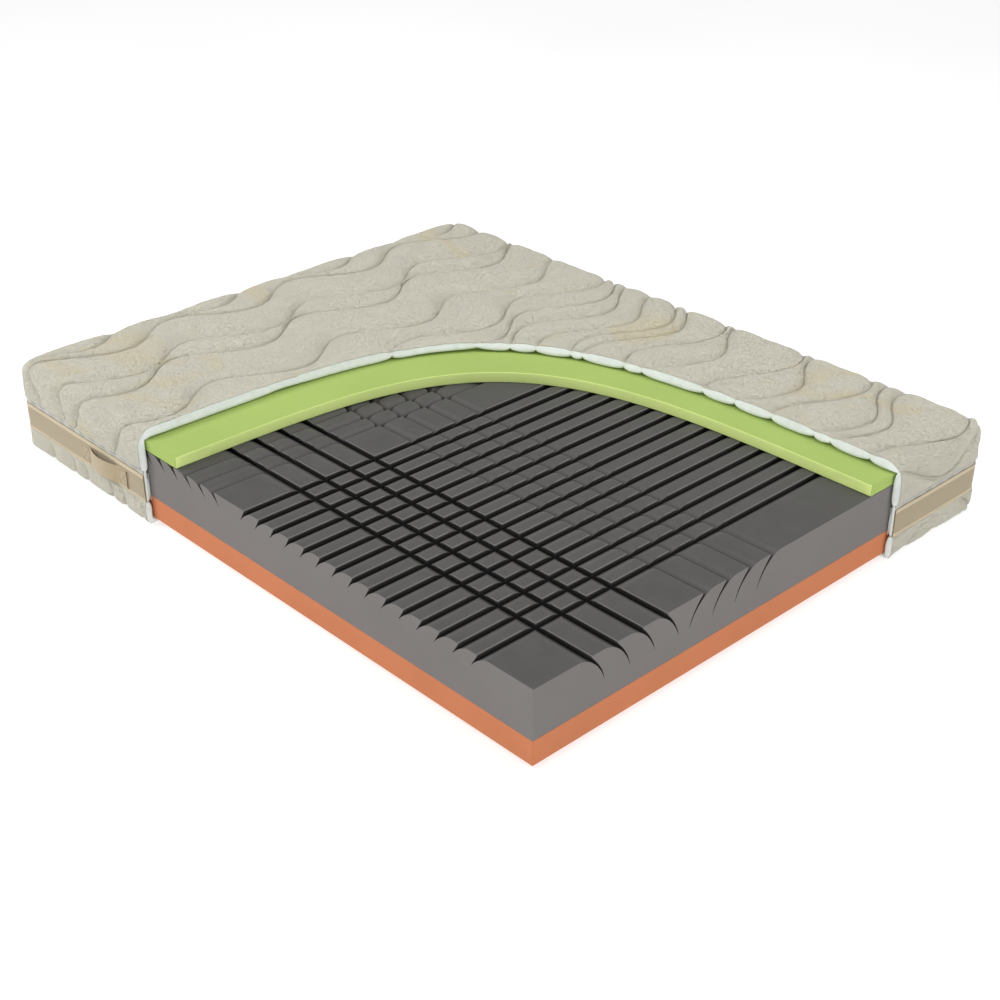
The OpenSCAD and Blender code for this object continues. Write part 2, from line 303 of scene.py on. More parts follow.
def cut_field(x, y, reach):
    """Positive where the cover or layer is kept, negative in the cut-back corner."""
    u, v = cut_shares(x, y, reach)
    return (u ** CUT_POWER + v ** CUT_POWER) ** (1 / CUT_POWER) - 1


def cut_direction(x, y, reach):
    """Unit vectors that point into the cut-back corner."""
    u, v = cut_shares(x, y, reach)
    gx = u ** (CUT_POWER - 1) / reach[0]
    gy = -(v ** (CUT_POWER - 1)) / reach[1]
    size = np.sqrt(gx * gx + gy * gy) + 1e-12
    return np.stack([gx / size, gy / size, np.zeros_like(gx)], -1)


class Profile:
    """Section of a quilt from the middle of its panel outwards and over the edge, by
    distance along it. Each stretch is a straight run or an arc, in (r, z), where r is
    the distance out from the centre of the cover's corner radius."""

    def __init__(self, panel_z, roll, hem_z, up):
        self.sign = 1 if up else -1
        wall_end = hem_z + self.sign * HEM_ROLL
        self.flat = CORNER - roll
        self.roll = roll
        self.roll_end = self.flat + roll * math.pi / 2
        self.wall = abs(panel_z - self.sign * roll - wall_end)
        self.wall_end = self.roll_end + self.wall
        self.length = self.wall_end + HEM_ROLL * math.pi / 2
        self.panel_z = panel_z
        self.foam_z = FOAM_TOP if up else FOAM_LOW.z
        self.hem_z = hem_z

    def at(self, rho):
        """Place and outward normal in the section."""
        rho = np.minimum(rho, self.length)
        roll_z = self.panel_z - self.sign * self.roll
        angle = np.clip((rho - self.flat) / self.roll, 0, math.pi / 2)
        r = np.where(rho < self.flat, rho, self.flat + self.roll * np.sin(angle))
        height = self.roll * np.cos(angle)
        down = np.clip(rho - self.roll_end, 0, self.wall)
        curl = np.clip((rho - self.wall_end) / HEM_ROLL, 0, math.pi / 2)
        r = r - HEM_ROLL * (1 - np.cos(curl))
        z = roll_z + self.sign * (height - down - HEM_ROLL * np.sin(curl))
        normal_r = np.sin(angle) * np.cos(curl)
        normal_z = self.sign * (np.cos(angle) - np.sin(curl) * np.sin(angle))
        return r, z, normal_r, normal_z

    def thickness(self, rho, theta):
        """Distance inwards to the foam. Round the curl of the hem it is taken level."""
        r, z, normal_r, normal_z = self.at(np.minimum(rho, self.wall_end))
        inner_r = (CORNER - SIDE) / np.cos(theta)
        side = np.where(normal_r > 0.02, (r - inner_r) / np.maximum(normal_r, 0.02), 0)
        rise = self.sign * (z - self.foam_z)
        outward = np.maximum(self.sign * normal_z, 0.02)
        panel = np.where(self.sign * normal_z > 0.02, rise / outward, 0)
        full = np.maximum(side, panel)
        to_hem = np.clip((self.length - rho) / (HEM_ROLL * 3.2), 0, 1)
        slim = HEM_T + (full - HEM_T) * np.sqrt(to_hem)
        return np.minimum(full, slim) - 0.4 * MM


def wrap(p, q, profile):
    """Lays the flat quilt at (p, q) over the foam. Returns places, normals, thickness,
    distances along the section and level directions outwards."""
    flat_l = HALF_L - CORNER
    flat_w = HALF_W - CORNER
    a = np.maximum(np.abs(p) - flat_l, 0)
    b = np.maximum(np.abs(q) - flat_w, 0)
    rho = np.maximum(a, b)
    theta = np.where(rho > 0, np.minimum(a, b) / np.maximum(rho, 1e-9), 0) * math.pi / 4
    along_x = np.where(a >= b, np.cos(theta), np.sin(theta)) * np.sign(p)
    along_y = np.where(a >= b, np.sin(theta), np.cos(theta)) * np.sign(q)
    inside = rho <= 0
    along_x = np.where(inside, 0, along_x)
    along_y = np.where(inside, 0, along_y)
    r, z, normal_r, normal_z = profile.at(rho)
    x = np.clip(p, -flat_l, flat_l) + along_x * r
    y = np.clip(q, -flat_w, flat_w) + along_y * r
    places = np.stack([x, y, z], -1)
    normals = np.stack([along_x * normal_r, along_y * normal_r, normal_z], -1)
    normals /= np.linalg.norm(normals, axis=-1, keepdims=True) + 1e-12
    sideways = np.stack([along_x, along_y, np.zeros_like(z)], -1)
    return places, normals, profile.thickness(rho, theta), rho, sideways


def line_at(line, q):
    """Place in X of a quilting line at each q."""
    phase = 2 * math.pi * (q - line[1]) / WAVE_LENGTH
    return line[0] + WAVE_HEIGHT * np.cos(phase + WAVE_SKEW * (1 - np.cos(phase)) / 2)


def smooth_noise(points, scale, seed):
    """Smooth noise from -1 to 1 at each point, the same on every run."""
    offset = Vector((seed * 17.3, seed * 5.1, seed * 9.7))
    return np.array([noise.noise(Vector(p) * scale + offset) for p in points.reshape(-1, 3)])


def quilt_grid(lines, profile, row_step, column_step):
    """Points of a flat quilt whose columns follow its quilting lines. A line that would
    leave the quilt is held inside its edge. Returns p, q and the puff, which is 0 on a
    line and 1 away from it."""
    p_end = HALF_L - CORNER + profile.length
    q_end = HALF_W - CORNER + profile.length
    rows = int(round(2 * q_end / row_step)) + 1
    q = np.linspace(-q_end, q_end, rows)
    edge = p_end - 4 * MM
    borders = [np.clip(line_at(line, q), -edge, edge) for line in lines]
    borders = [np.full(rows, -p_end)] + borders + [np.full(rows, p_end)]
    columns, puffs = [], []
    last = len(borders) - 2
    for i in range(len(borders) - 1):
        left, right = borders[i], borders[i + 1]
        width = right - left
        steps = max(6, int(round(width.mean() / column_step)))
        for k in range(steps + (i == last)):
            t = k / steps
            t = 0.35 * t + 0.65 * (1 - math.cos(math.pi * t)) / 2
            column = left + width * t
            slope = np.gradient(column, q)
            to_left = t * width if i > 0 else np.full(rows, 1.0)
            to_right = (1 - t) * width if i < last else np.full(rows, 1.0)
            distance = np.minimum(to_left, to_right) / np.sqrt(1 + slope * slope)
            reach = np.minimum(PUFF_REACH, 0.5 * width)
            part = np.clip(1 - distance / reach, 0, 1)
            narrow = 1 - np.minimum(1, reach / PUFF_REACH)
            columns.append(column)
            puffs.append(np.sqrt(1 - part * part) * (1 - 0.3 * narrow))
    p = np.stack(columns, 1)
    return p, np.repeat(q[:, None], p.shape[1], 1), np.stack(puffs, 1)


def flat_area(p, q, faces):
    """Area of the cloth as it was cut, before it went round the foam."""
    total = 0.0
    for face in faces:
        for k in range(1, len(face) - 1):
            a, b, c = face[0], face[k], face[k + 1]
            total += abs((p[b] - p[a]) * (q[c] - q[a]) - (p[c] - p[a]) * (q[b] - q[a])) / 2
    return float(total)


def lay_quilt(lines, profile, row_step, column_step, sink, waves, seam=None):
    """Outer and inner surfaces of a whole quilt. seam is the distance along the section
    at which another quilt is sewn on, and the quilt is pinched there."""
    p, q, puff = quilt_grid(lines, profile, row_step, column_step)
    shape = p.shape
    p, q, puff = p.ravel(), q.ravel(), puff.ravel()
    base, normal, thick, rho, sideways = wrap(p, q, profile)
    if seam is not None:
        to_seam = np.clip(1 - np.abs(rho - seam) / (14 * MM), 0, 1)
        puff = np.minimum(puff, np.sqrt(1 - to_seam * to_seam))
    loose = smooth_noise(base, 9, 1) * 0.6 + smooth_noise(base, 28, 2) * 0.4
    cloth_point = np.stack([p, q * 2, np.zeros_like(p)], -1)
    pucker = smooth_noise(cloth_point, 45, 3) * np.clip(1 - puff, 0, 1) * np.clip(puff * 5, 0, 1)
    free = np.clip(thick / (12 * MM), 0, 1)
    to_hem = np.clip((profile.length - rho) / (16 * MM), 0, 1)
    lift = (waves * loose + 3.0 * MM * pucker) * free * to_hem
    from_cut = np.clip(cut_field(base[:, 0], base[:, 1], COVER_CUT) * COVER_CUT[0] / CUT_EASE, 0, 1)
    depth = sink * thick * (1 - puff) * (0.1 + 0.9 * from_cut) * to_hem
    outer = base + normal * (lift - depth)[:, None]
    pinched = CUT_PINCH * (1 - puff) * (1 - from_cut)
    curled = (rho > profile.wall_end)[:, None]
    tucked = sideways * (CORNER - profile.at(rho)[0])[:, None]
    lining = np.where(curled, sideways, normal)
    inner = base + tucked * curled - lining * (thick * (1 - pinched))[:, None]
    return {"p": p, "q": q, "rho": rho, "outer": outer, "inner": inner, "normal": normal,
            "lining": lining, "curled": curled, "thick": thick, "puff": puff,
            "shape": shape, "up": profile.sign > 0}


def quilt_faces(laid):
    """Faces of a whole quilt, turned outwards."""
    faces = grid_faces(*laid["shape"])
    return faces if laid["up"] else [tuple(reversed(f)) for f in faces]


def billow(laid, frames=14, cap=2 * MM):
    """Lets the face cloth billow between its quilting lines: a cloth simulation with a
    little spare cloth, held at the lines and at the rim. Each point moves by no more
    than the cap."""
    start = laid["outer"]
    mesh = plain_mesh("billowing_cloth", start, quilt_faces(laid))
    cloth_piece = add_object("billowing_cloth", mesh)
    held = (laid["puff"] < 0.02) | (laid["rho"] > laid["rho"].max() - 12 * MM)
    group = cloth_piece.vertex_groups.new(name="held")
    group.add([int(i) for i in np.nonzero(held)[0]], 1.0, "REPLACE")
    cloth = cloth_piece.modifiers.new("cloth", "CLOTH")
    cloth.settings.quality = 4
    cloth.settings.mass = 0.2
    cloth.settings.tension_stiffness = 12
    cloth.settings.compression_stiffness = 12
    cloth.settings.shear_stiffness = 4
    cloth.settings.bending_stiffness = 0.08
    cloth.settings.vertex_group_mass = "held"
    cloth.settings.use_pressure = True
    cloth.settings.uniform_pressure_force = 0.8
    cloth.settings.shrink_min = -0.012
    cloth.settings.effector_weights.gravity = 0
    cloth.collision_settings.use_self_collision = False
    scene = bpy.context.scene
    for frame_number in range(1, frames + 1):
        scene.frame_set(frame_number)
    depsgraph = bpy.context.evaluated_depsgraph_get()
    moved = np.empty(len(start) * 3)
    cloth_piece.evaluated_get(depsgraph).data.vertices.foreach_get("co", moved)
    bpy.data.objects.remove(cloth_piece)
    bpy.data.meshes.remove(mesh)
    scene.frame_set(1)
    step = moved.reshape(-1, 3) - start
    size = np.linalg.norm(step, axis=1, keepdims=True) + 1e-9
    room = np.minimum(cap, laid["thick"] * 0.45)[:, None]
    shaped = start + step / size * room * np.tanh(size / room)
    if not laid["up"]:
        shaped[:, 2] = np.maximum(shaped[:, 2], start[:, 2].min())
    left = np.sum((shaped - laid["inner"]) * laid["normal"], axis=1)
    short = np.maximum(0.36 * laid["thick"] - left, 0)
    laid["outer"] = shaped + laid["normal"] * short[:, None] * ~laid["curled"]


def make_quilt(prefix, laid, stands_for, seam=None, wall=True):
    """Ticking, wadding and backing of one quilt, cut back at the corner, and at the seam
    if only its wall or only its panel is wanted."""
    faces = quilt_faces(laid)
    kinds = ("p", "q", "rho", "outer", "inner", "normal", "lining", "thick", "puff")
    arrays = [laid[k] for k in kinds]
    if seam is not None:
        keep = (laid["rho"] - seam) * (1 if wall else -1)
        arrays, faces, _ = clip(keep, arrays, faces)
    keep = cut_field(arrays[3][:, 0], arrays[3][:, 1], COVER_CUT)
    cut_back = clip(keep, arrays, faces)
    (p, q, rho, outer, inner, normal, lining, thick, puff), faces, on_cut = cut_back
    area = flat_area(p, q, faces)
    normal /= np.linalg.norm(normal, axis=1, keepdims=True)
    into_corner = cut_direction(outer[:, 0], outer[:, 1], COVER_CUT)
    fullness = np.clip(thick / SIDE, 0, 1) * (0.4 + 0.6 * puff)
    push = into_corner * np.where(on_cut, CUT_BULGE * fullness, 0)[:, None]
    under_face = outer - normal * TICKING_T
    over_back = inner + lining * BACKING_T
    layers = [
        ("ticking", outer, under_face, None, 1, TICKING),
        ("wadding", under_face, over_back, push, 8, WADDING),
        ("backing", over_back, inner, None, 1, BACKING),
    ]
    size = (float(2 * np.abs(q).max()), float(2 * np.abs(p).max()))
    if seam is not None and wall:
        height = float(rho.max() - seam)
        size, area = (height, area / height), None
    for layer, above, below, bulge, rim, material in layers:
        verts, all_faces = closed_layer(above, below, faces, bulge, rim)
        piece = new_mesh(f"{prefix}_{layer}", verts, all_faces, "root", material, sharp_angle=60)
        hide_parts(f"{stands_for}_{layer}")


def quilting_thread(name, lines, profile, sink):
    """Stitches along the quilting lines, sunk into the creases."""
    q_end = HALF_W - CORNER + profile.length - 4 * MM
    places, alongs, outs = [], [], []
    for line in lines:
        q = np.arange(-q_end, q_end, 1 * MM)
        p = line_at(line, q)
        run = np.concatenate([[0], np.cumsum(np.hypot(np.diff(p), np.diff(q)))])
        marks = np.arange(0, run[-1], STITCH_PITCH)
        q, p = np.interp(marks, run, q), np.interp(marks, run, p)
        base, normal, thick, rho, _ = wrap(p, q, profile)
        base = base - normal * (sink * thick - 0.2 * MM)[:, None]
        along = np.gradient(base, axis=0)
        along /= np.linalg.norm(along, axis=1, keepdims=True)
        inside = (np.abs(p) < HALF_L - CORNER + profile.length) & (rho < profile.length - 3 * MM)
        inside &= cut_field(base[:, 0], base[:, 1], COVER_CUT) > 0.004
        places.append(base[inside])
        alongs.append(along[inside])
        outs.append(normal[inside])
    verts, faces = beads(np.concatenate(places), np.concatenate(alongs), np.concatenate(outs),
                         0.42 * STITCH_PITCH, 0.55 * MM, 0.5 * MM)
    new_mesh(name, verts, faces, "root", QUILT_THREAD)


# ---------------------------------------------------------------- materials

class Nodes:
    """Short calls for building one material's node tree."""

    def __init__(self, name, **sockets):
        self.material = bpy.data.materials.new(name)
        self.material.use_nodes = True
        self.tree = self.material.node_tree
        self.shader = self.tree.nodes["Principled BSDF"]
        for key, value in sockets.items():
            self.shader.inputs[key.replace("_", " ")].default_value = value
        self.place = self.add("ShaderNodeTexCoord").outputs["Object"]

    def add(self, kind, **settings):
        """New node with the given settings."""
        node = self.tree.nodes.new(kind)
        for key, value in settings.items():
            setattr(node, key, value)
        return node

    def link(self, source, target):
        """Joins an output to an input."""
        self.tree.links.new(source, target)

    def feed(self, socket, value):
        """Sets an input to a plain value, or links an output to it."""
        if isinstance(value, (int, float, tuple, list)):
            socket.default_value = value
        else:
            self.link(value, socket)

    def scaled(self, scale):
        """Object coordinates, stretched."""
        node = self.add("ShaderNodeMapping")
        self.link(self.place, node.inputs["Vector"])
        node.inputs["Scale"].default_value = scale
        return node.outputs["Vector"]

    def noise(self, scale, detail=2.0, rough=0.5, vector=None, distortion=0.0):
        """Cloudy noise."""
        node = self.add("ShaderNodeTexNoise")
        self.link(vector or self.place, node.inputs["Vector"])
        node.inputs["Scale"].default_value = scale
        node.inputs["Detail"].default_value = detail
        node.inputs["Roughness"].default_value = rough
        node.inputs["Distortion"].default_value = distortion
        return node.outputs["Fac"]

    def cells(self, scale, vector=None):
        """Distance from the middle of irregular cells."""
        node = self.add("ShaderNodeTexVoronoi")
        self.link(vector or self.place, node.inputs["Vector"])
        node.inputs["Scale"].default_value = scale
        return node.outputs["Distance"]

    def wave(self, scale, vector, direction="X", distortion=0.0):
        """Bands that rise and fall along a direction."""
        node = self.add("ShaderNodeTexWave", bands_direction=direction)
        self.link(vector, node.inputs["Vector"])
        node.inputs["Scale"].default_value = scale
        node.inputs["Distortion"].default_value = distortion
        return node.outputs["Fac"]

    def ramp(self, value, *stops):
        """Colours at stops, blended between them."""
        node = self.add("ShaderNodeValToRGB")
        self.link(value, node.inputs["Fac"])
        elements = node.color_ramp.elements
        while len(elements) < len(stops):
            elements.new(0.5)
        for element, (place, color) in zip(elements, stops):
            element.position = place
            element.color = color if len(color) == 4 else (*color, 1)
        return node.outputs["Color"]

    def rising(self, value, low, high):
        """0 below low and 1 above high."""
        return self.ramp(value, (low, (0, 0, 0)), (high, (1, 1, 1)))

    def falling(self, value, low, high):
        """1 below low and 0 above high."""
        return self.ramp(value, (low, (1, 1, 1)), (high, (0, 0, 0)))

    def math(self, operation, a, b):
        """Sum, product and so on of two values."""
        node = self.add("ShaderNodeMath", operation=operation)
        self.feed(node.inputs[0], a)
        self.feed(node.inputs[1], b)
        return node.outputs[0]

    def mix(self, factor, a, b):
        """Colour a where the factor is 0 and b where it is 1."""
        node = self.add("ShaderNodeMix", data_type="RGBA")
        self.feed(node.inputs[0], factor)
        for socket, value in ((node.inputs[6], a), (node.inputs[7], b)):
            self.feed(socket, (*value, 1) if isinstance(value, tuple) and len(value) == 3 else value)
        return node.outputs[2]

    def bump(self, height, distance, strength=1.0, after=None):
        """Relief from a height, on top of an earlier relief if one is given."""
        node = self.add("ShaderNodeBump")
        node.inputs["Strength"].default_value = strength
        node.inputs["Distance"].default_value = distance
        self.link(height, node.inputs["Height"])
        if after:
            self.link(after, node.inputs["Normal"])
        return node.outputs["Normal"]

    def done(self, color=None, normal=None, roughness=None):
        """Links the finished values to the shader and returns the material."""
        if color is not None:
            self.feed(self.shader.inputs["Base Color"], color)
        if normal is not None:
            self.link(normal, self.shader.inputs["Normal"])
        if roughness is not None:
            self.feed(self.shader.inputs["Roughness"], roughness)
        return self.material


def srgb(r, g, b):
    """Linear colour of an sRGB one given as 0 to 255."""
    def linear(c):
        c /= 255
        return c / 12.92 if c <= 0.04045 else ((c + 0.055) / 1.055) ** 2.4
    return (linear(r), linear(g), linear(b))


def shade(color, factor):
    """Lighter or darker copy of a colour."""
    return tuple(c * factor for c in color)


def ticking_material():
    """Knitted face cloth: crinkled jersey with fine ribs and faint paler blotches."""
    n = Nodes("knitted_ticking", Roughness=0.88, Sheen_Weight=0.25, Sheen_Roughness=0.55,
              Specular_IOR_Level=0.25)
    cream = srgb(235, 231, 212)
    blotch = n.rising(n.noise(11, 3, 0.6), 0.36, 0.62)
    color = n.mix(blotch, shade(cream, 0.955), cream)
    bent = n.noise(5.5, 1, 0.4, distortion=0.8)
    patches = n.rising(bent, 0.6, 0.72)
    color = n.mix(n.math("MULTIPLY", patches, 0.5), color, srgb(236, 220, 176))
    crinkle = n.noise(88, 6, 0.7, n.scaled((1, 1, 1.4)), distortion=1.1)
    ribs = n.wave(180, n.scaled((1, 1, 1)), "DIAGONAL", 3.0)
    knit = n.cells(640, n.scaled((1, 0.62, 1)))
    # Painted shade: darker cream in the hollows of the crinkle.
    color = n.mix(n.falling(crinkle, 0.32, 0.47), color, shade(cream, 0.88))
    normal = n.bump(crinkle, 0.013, 1.0)
    normal = n.bump(n.noise(230, 3, 0.7, distortion=0.6), 0.005, 1.0, normal)
    normal = n.bump(ribs, 0.0003, 0.5, normal)
    normal = n.bump(knit, 0.0005, 0.6, normal)
    return n.done(color, normal)


def wadding_material():
    """Loose white fibre: soft lumps and fine hairs."""
    n = Nodes("white_wadding", Roughness=1.0, Sheen_Weight=0.5, Sheen_Roughness=0.8,
              Specular_IOR_Level=0.1, Subsurface_Weight=0.12, Subsurface_Scale=0.01)
    white = srgb(226, 232, 227)
    lumps = n.noise(45, 4, 0.6)
    hairs = n.noise(500, 5, 0.7, distortion=1.5)
    color = n.mix(n.rising(lumps, 0.35, 0.65), shade(white, 0.9), white)
    normal = n.bump(lumps, 0.004, 0.6)
    normal = n.bump(hairs, 0.001, 0.7, normal)
    return n.done(color, normal)


def backing_material():
    """Thin white non-woven cloth with a spot-bonded surface."""
    n = Nodes("backing_cloth", Roughness=0.95, Specular_IOR_Level=0.15)
    white = srgb(236, 238, 234)
    spots = n.cells(260)
    color = n.mix(n.rising(spots, 0.1, 0.4), shade(white, 0.9), white)
    return n.done(color, n.bump(spots, 0.0004, 0.5))


def foam_material(name, color, dark, speck):
    """Cut foam: open cells, knife drag and small pits. speck scales the pits."""
    n = Nodes(name, Roughness=0.95, Specular_IOR_Level=0.2)
    tone = n.noise(5, 3, 0.55)
    base = n.mix(n.rising(tone, 0.35, 0.65), shade(color, 0.95), color)
    pits = n.noise(900, 3, 0.7)
    spots = n.cells(240)
    base = n.mix(n.math("MULTIPLY", n.falling(pits, 0.34, 0.5), speck), base, dark)
    base = n.mix(n.math("MULTIPLY", n.falling(spots, 0.06, 0.16), speck), base, dark)
    normal = n.bump(pits, 0.0008, 0.6)
    normal = n.bump(n.noise(60, 2, 0.5), 0.0012, 0.35, normal)
    return n.done(base, normal)


def core_skin_material():
    """Moulded skin of the core: dark and close on the flat, with a painted highlight (a paler gray) where
    the surface turns over the rounded shoulders and lips, and painted shade that darkens it low down in
    the slots."""
    n = Nodes("core_skin", Roughness=0.6, Specular_IOR_Level=0.3, Sheen_Weight=0.04)
    gray = srgb(79, 78, 76)
    tone = n.noise(14, 4, 0.6)
    color = n.mix(n.rising(tone, 0.35, 0.65), shade(gray, 0.88), gray)
    # Painted highlight: paler gray where the surface tilts away from level, over the shoulders and lips.
    normal_parts = n.add("ShaderNodeSeparateXYZ")
    n.link(n.add("ShaderNodeNewGeometry").outputs["Normal"], normal_parts.inputs[0])
    slope = n.ramp(normal_parts.outputs["Z"], (0.3, (0, 0, 0)), (0.6, (1, 1, 1)),
                   (0.88, (1, 1, 1)), (0.99, (0, 0, 0)))
    color = n.mix(n.math("MULTIPLY", slope, 0.6), color, srgb(116, 112, 109))
    # Painted shade: near-black a few millimetres below the top, where the slots fall into shadow.
    height = n.add("ShaderNodeSeparateXYZ")
    n.link(n.place, height.inputs[0])
    painted_slot_shade = n.falling(height.outputs["Z"], CORE_HIGH.z - 9 * MM, CORE_HIGH.z - 4 * MM)
    color = n.mix(n.math("MULTIPLY", painted_slot_shade, 0.92), color, srgb(34, 32, 30))
    speckle = n.falling(n.noise(420, 2, 0.6), 0.35, 0.5)
    color = n.mix(n.math("MULTIPLY", speckle, 0.35), color, shade(gray, 0.6))
    grain = n.noise(700, 3, 0.6)
    return n.done(color, n.bump(grain, 0.0005, 0.5))


def woven_material(name, color, thread, scale, bump=0.0004):
    """Plain weave: two crossing sets of ribs that follow the strip, with uneven yarns."""
    n = Nodes(name, Roughness=0.8, Sheen_Weight=0.3, Sheen_Roughness=0.5,
              Specular_IOR_Level=0.3)
    along = n.add("ShaderNodeAttribute", attribute_name="weave").outputs["Vector"]
    weave = n.math("MULTIPLY", n.wave(scale, along, "X"), n.wave(scale, along, "Y"))
    uneven = n.noise(70, 3, 0.6)
    base = n.mix(n.rising(uneven, 0.35, 0.65), shade(color, 0.92), color)
    base = n.mix(n.falling(weave, 0.05, 0.4), base, thread)
    normal = n.bump(weave, bump, 0.8)
    return n.done(base, n.bump(n.noise(800, 2, 0.6), 0.0002, 0.5, normal))


def thread_material(name, color):
    """Twisted sewing thread."""
    n = Nodes(name, Roughness=0.6, Specular_IOR_Level=0.4, Sheen_Weight=0.2)
    twist = n.wave(900, n.scaled((1, 1, 1)), "DIAGONAL")
    base = n.mix(n.rising(twist, 0.2, 0.7), shade(color, 0.75), color)
    return n.done(base, n.bump(twist, 0.0003, 0.6))


def metal_material():
    """Die-cast zip metal, plated, with small scratches."""
    n = Nodes("zip_metal", Metallic=1.0)
    scratches = n.noise(160, 5, 0.7, n.scaled((1, 6, 1)))
    color = n.mix(n.rising(scratches, 0.4, 0.6), srgb(150, 150, 148), srgb(196, 196, 192))
    rough = n.math("ADD", 0.24, n.math("MULTIPLY", scratches, 0.2))
    return n.done(color, n.bump(scratches, 0.0002, 0.4), rough)


TICKING = ticking_material()
WADDING = wadding_material()
BACKING = backing_material()
BASE_FOAM = foam_material("base_foam", srgb(200, 126, 88), srgb(158, 86, 56), 0.35)
CORE_SKIN = core_skin_material()
CORE_CUT = foam_material("core_cut_face", srgb(124, 120, 118), srgb(80, 76, 77), 0.4)
# Paler gray for the rounded lips over the slots: painted highlight.
CORE_LIP_HIGHLIGHT = foam_material("core_lip_painted_highlight", srgb(116, 114, 112), srgb(86, 84, 82), 0.3)
COMFORT_SKIN = foam_material("comfort_skin", srgb(165, 188, 104), srgb(144, 168, 88), 0.2)
# Paler copy of the green for the rounded cut face: painted light, as the cut face catches more light than
# the top.
COMFORT_CUT_PAINTED_LIGHT = foam_material("comfort_cut_face_painted_light", srgb(226, 246, 154), srgb(186, 210, 118), 0.3)
MESH_CLOTH = woven_material("band_mesh", srgb(188, 171, 140), srgb(136, 120, 92), 160)
BINDING = woven_material("binding_tape", srgb(224, 210, 182), srgb(186, 170, 140), 210, 0.0003)
ZIP_TAPE = woven_material("zip_tape", srgb(240, 241, 236), srgb(206, 206, 200), 260, 0.0003)
# Grey dashes on the white zip tape: painted shadow of small gathers along the zip.
ZIP_SHADOW_DASH = woven_material("zip_painted_shadow_dashes", srgb(188, 190, 188), srgb(150, 152, 150), 260, 0.0003)
ZIP_COIL = thread_material("zip_coil", srgb(238, 238, 234))
WEBBING = woven_material("handle_webbing", srgb(206, 188, 154), srgb(146, 128, 98), 120, 0.0006)
PALE_THREAD = thread_material("pale_thread", srgb(176, 158, 124))
QUILT_THREAD = thread_material("quilting_thread", srgb(166, 156, 126))
STITCH = thread_material("handle_thread", srgb(140, 118, 84))
DARK_THREAD = thread_material("dark_thread", srgb(70, 48, 36))
METAL = metal_material()


# ---------------------------------------------------------------- foam block

CROSS_SLOT = {"depth": 35 * MM, "lip": 21 * MM, "reach": 57 * MM, "wall": 1.0, "shoulder": 1.0}
LONG_SLOT = {"depth": 77 * MM, "lip": 43 * MM, "reach": 82 * MM, "wall": 1.7, "shoulder": 0.75}
CROSS_PITCH = 57.1 * MM
LONG_PITCH = 76.3 * MM
# Groups of slots: distance of the first root from the front corner, count and lean
CROSS_GROUPS = [(0.182, 15, 1), (1.064, 13, -1)]
LONG_GROUPS = [(0.205, 4, -1), (0.469, 4, 1)]
LIP_ROUND = 7 * MM
FOAM_EDGE = 2.5 * MM                     # rounding of the cut edges of the plain sheets
CROSS_MEET = -0.043                      # where the slots' lean turns over, along X and Y
LONG_MEET = -0.330


def slot_outline(slot, steps=14):
    """Outline of one slot from its root at the origin: undercut wall, rounded lip and
    shoulder, as (across, up)."""
    depth, lip, reach = slot["depth"], slot["lip"], slot["reach"]
    over = 10 * MM
    round_from = 1 - LIP_ROUND / depth
    points = []
    for i in range(steps + 1):
        t = round_from * i / steps
        points.append((lip * t ** slot["wall"], depth * t))
    start = points[-1]
    for i in range(1, 8):
        t = i / 7
        across = start[0] * (1 - t) ** 2 + 2 * lip * t * (1 - t) + (lip - LIP_ROUND) * t * t
        up = start[1] * (1 - t) ** 2 + 2 * depth * t * (1 - t) + depth * t * t
        points.append((across, up))
    points += [(lip - LIP_ROUND, depth + over), (reach, depth + over)]
    for i in range(2 * steps):
        s = i / (2 * steps)
        points.append((reach * (1 - s), depth * (1 - s * s) ** slot["shoulder"]))
    return points


def slot_cutters(slot, roots, along_x):
    """One mesh with a closed prism for each slot, to be taken out of the core. roots
    holds the place and the lean of each."""
    outline = slot_outline(slot)
    count = len(outline)
    half = 1.2
    verts, faces = [], []
    for root, lean in roots:
        start = len(verts)
        for end in (-half, half):
            for across, up in outline:
                place = root + lean * across
                z = CORE_HIGH.z - slot["depth"] + up
                verts.append((end, place, z) if along_x else (place, end, z))
        for k in range(count):
            n = (k + 1) % count
            faces.append((start + k, start + n, start + count + n, start + count + k))
        faces.append(tuple(start + k for k in reversed(range(count))))
        faces.append(tuple(start + count + k for k in range(count)))
    mesh = plain_mesh("slot_cutters", verts, faces)
    fix_normals(mesh)
    return add_object("slot_cutters", mesh)


def apply_modifiers(obj):
    """Turns the object's modifiers into its mesh."""
    bpy.context.view_layer.update()
    shaped = obj.evaluated_get(bpy.context.evaluated_depsgraph_get())
    mesh = bpy.data.meshes.new_from_object(shaped)
    obj.modifiers.clear()
    old = obj.data
    obj.data = mesh
    mesh.name = old.name
    bpy.data.meshes.remove(old)


def foam_block(name, low, high, material):
    """Rectangular block of foam with sharp edges."""
    x0, y0, z0 = low
    x1, y1, z1 = high
    verts = [(x, y, z) for z in (z0, z1) for x, y in ((x0, y0), (x1, y0), (x1, y1), (x0, y1))]
    faces = [(3, 2, 1, 0), (4, 5, 6, 7)] + [(k, (k + 1) % 4, 4 + (k + 1) % 4, 4 + k) for k in range(4)]
    return new_mesh(name, verts, faces, "root", material, smooth=False)


def soften(obj, angle):
    """Rounds the edges of a foam piece that bend by more than the angle."""
    bevel = obj.modifiers.new("soft_edges", "BEVEL")
    bevel.width = FOAM_EDGE
    bevel.segments = 3
    bevel.limit_method = "ANGLE"
    bevel.angle_limit = math.radians(angle)
    bevel.harden_normals = False
    apply_modifiers(obj)
    obj.data.shade_smooth()
    shade_edges(obj.data, off_large_faces)


def off_large_faces(edge):
    """Whether an edge is smooth: large flat faces stay flat where they meet a rounding."""
    large = any(face.calc_area() > 0.002 for face in edge.link_faces)
    return bend(edge) <= math.radians(35) and not large


def make_base_foam():
    """Plain sheet under the core."""
    block = foam_block("base_foam_block", FOAM_LOW, FOAM_HIGH, BASE_FOAM)
    soften(block, 40)
    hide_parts("base_foam")


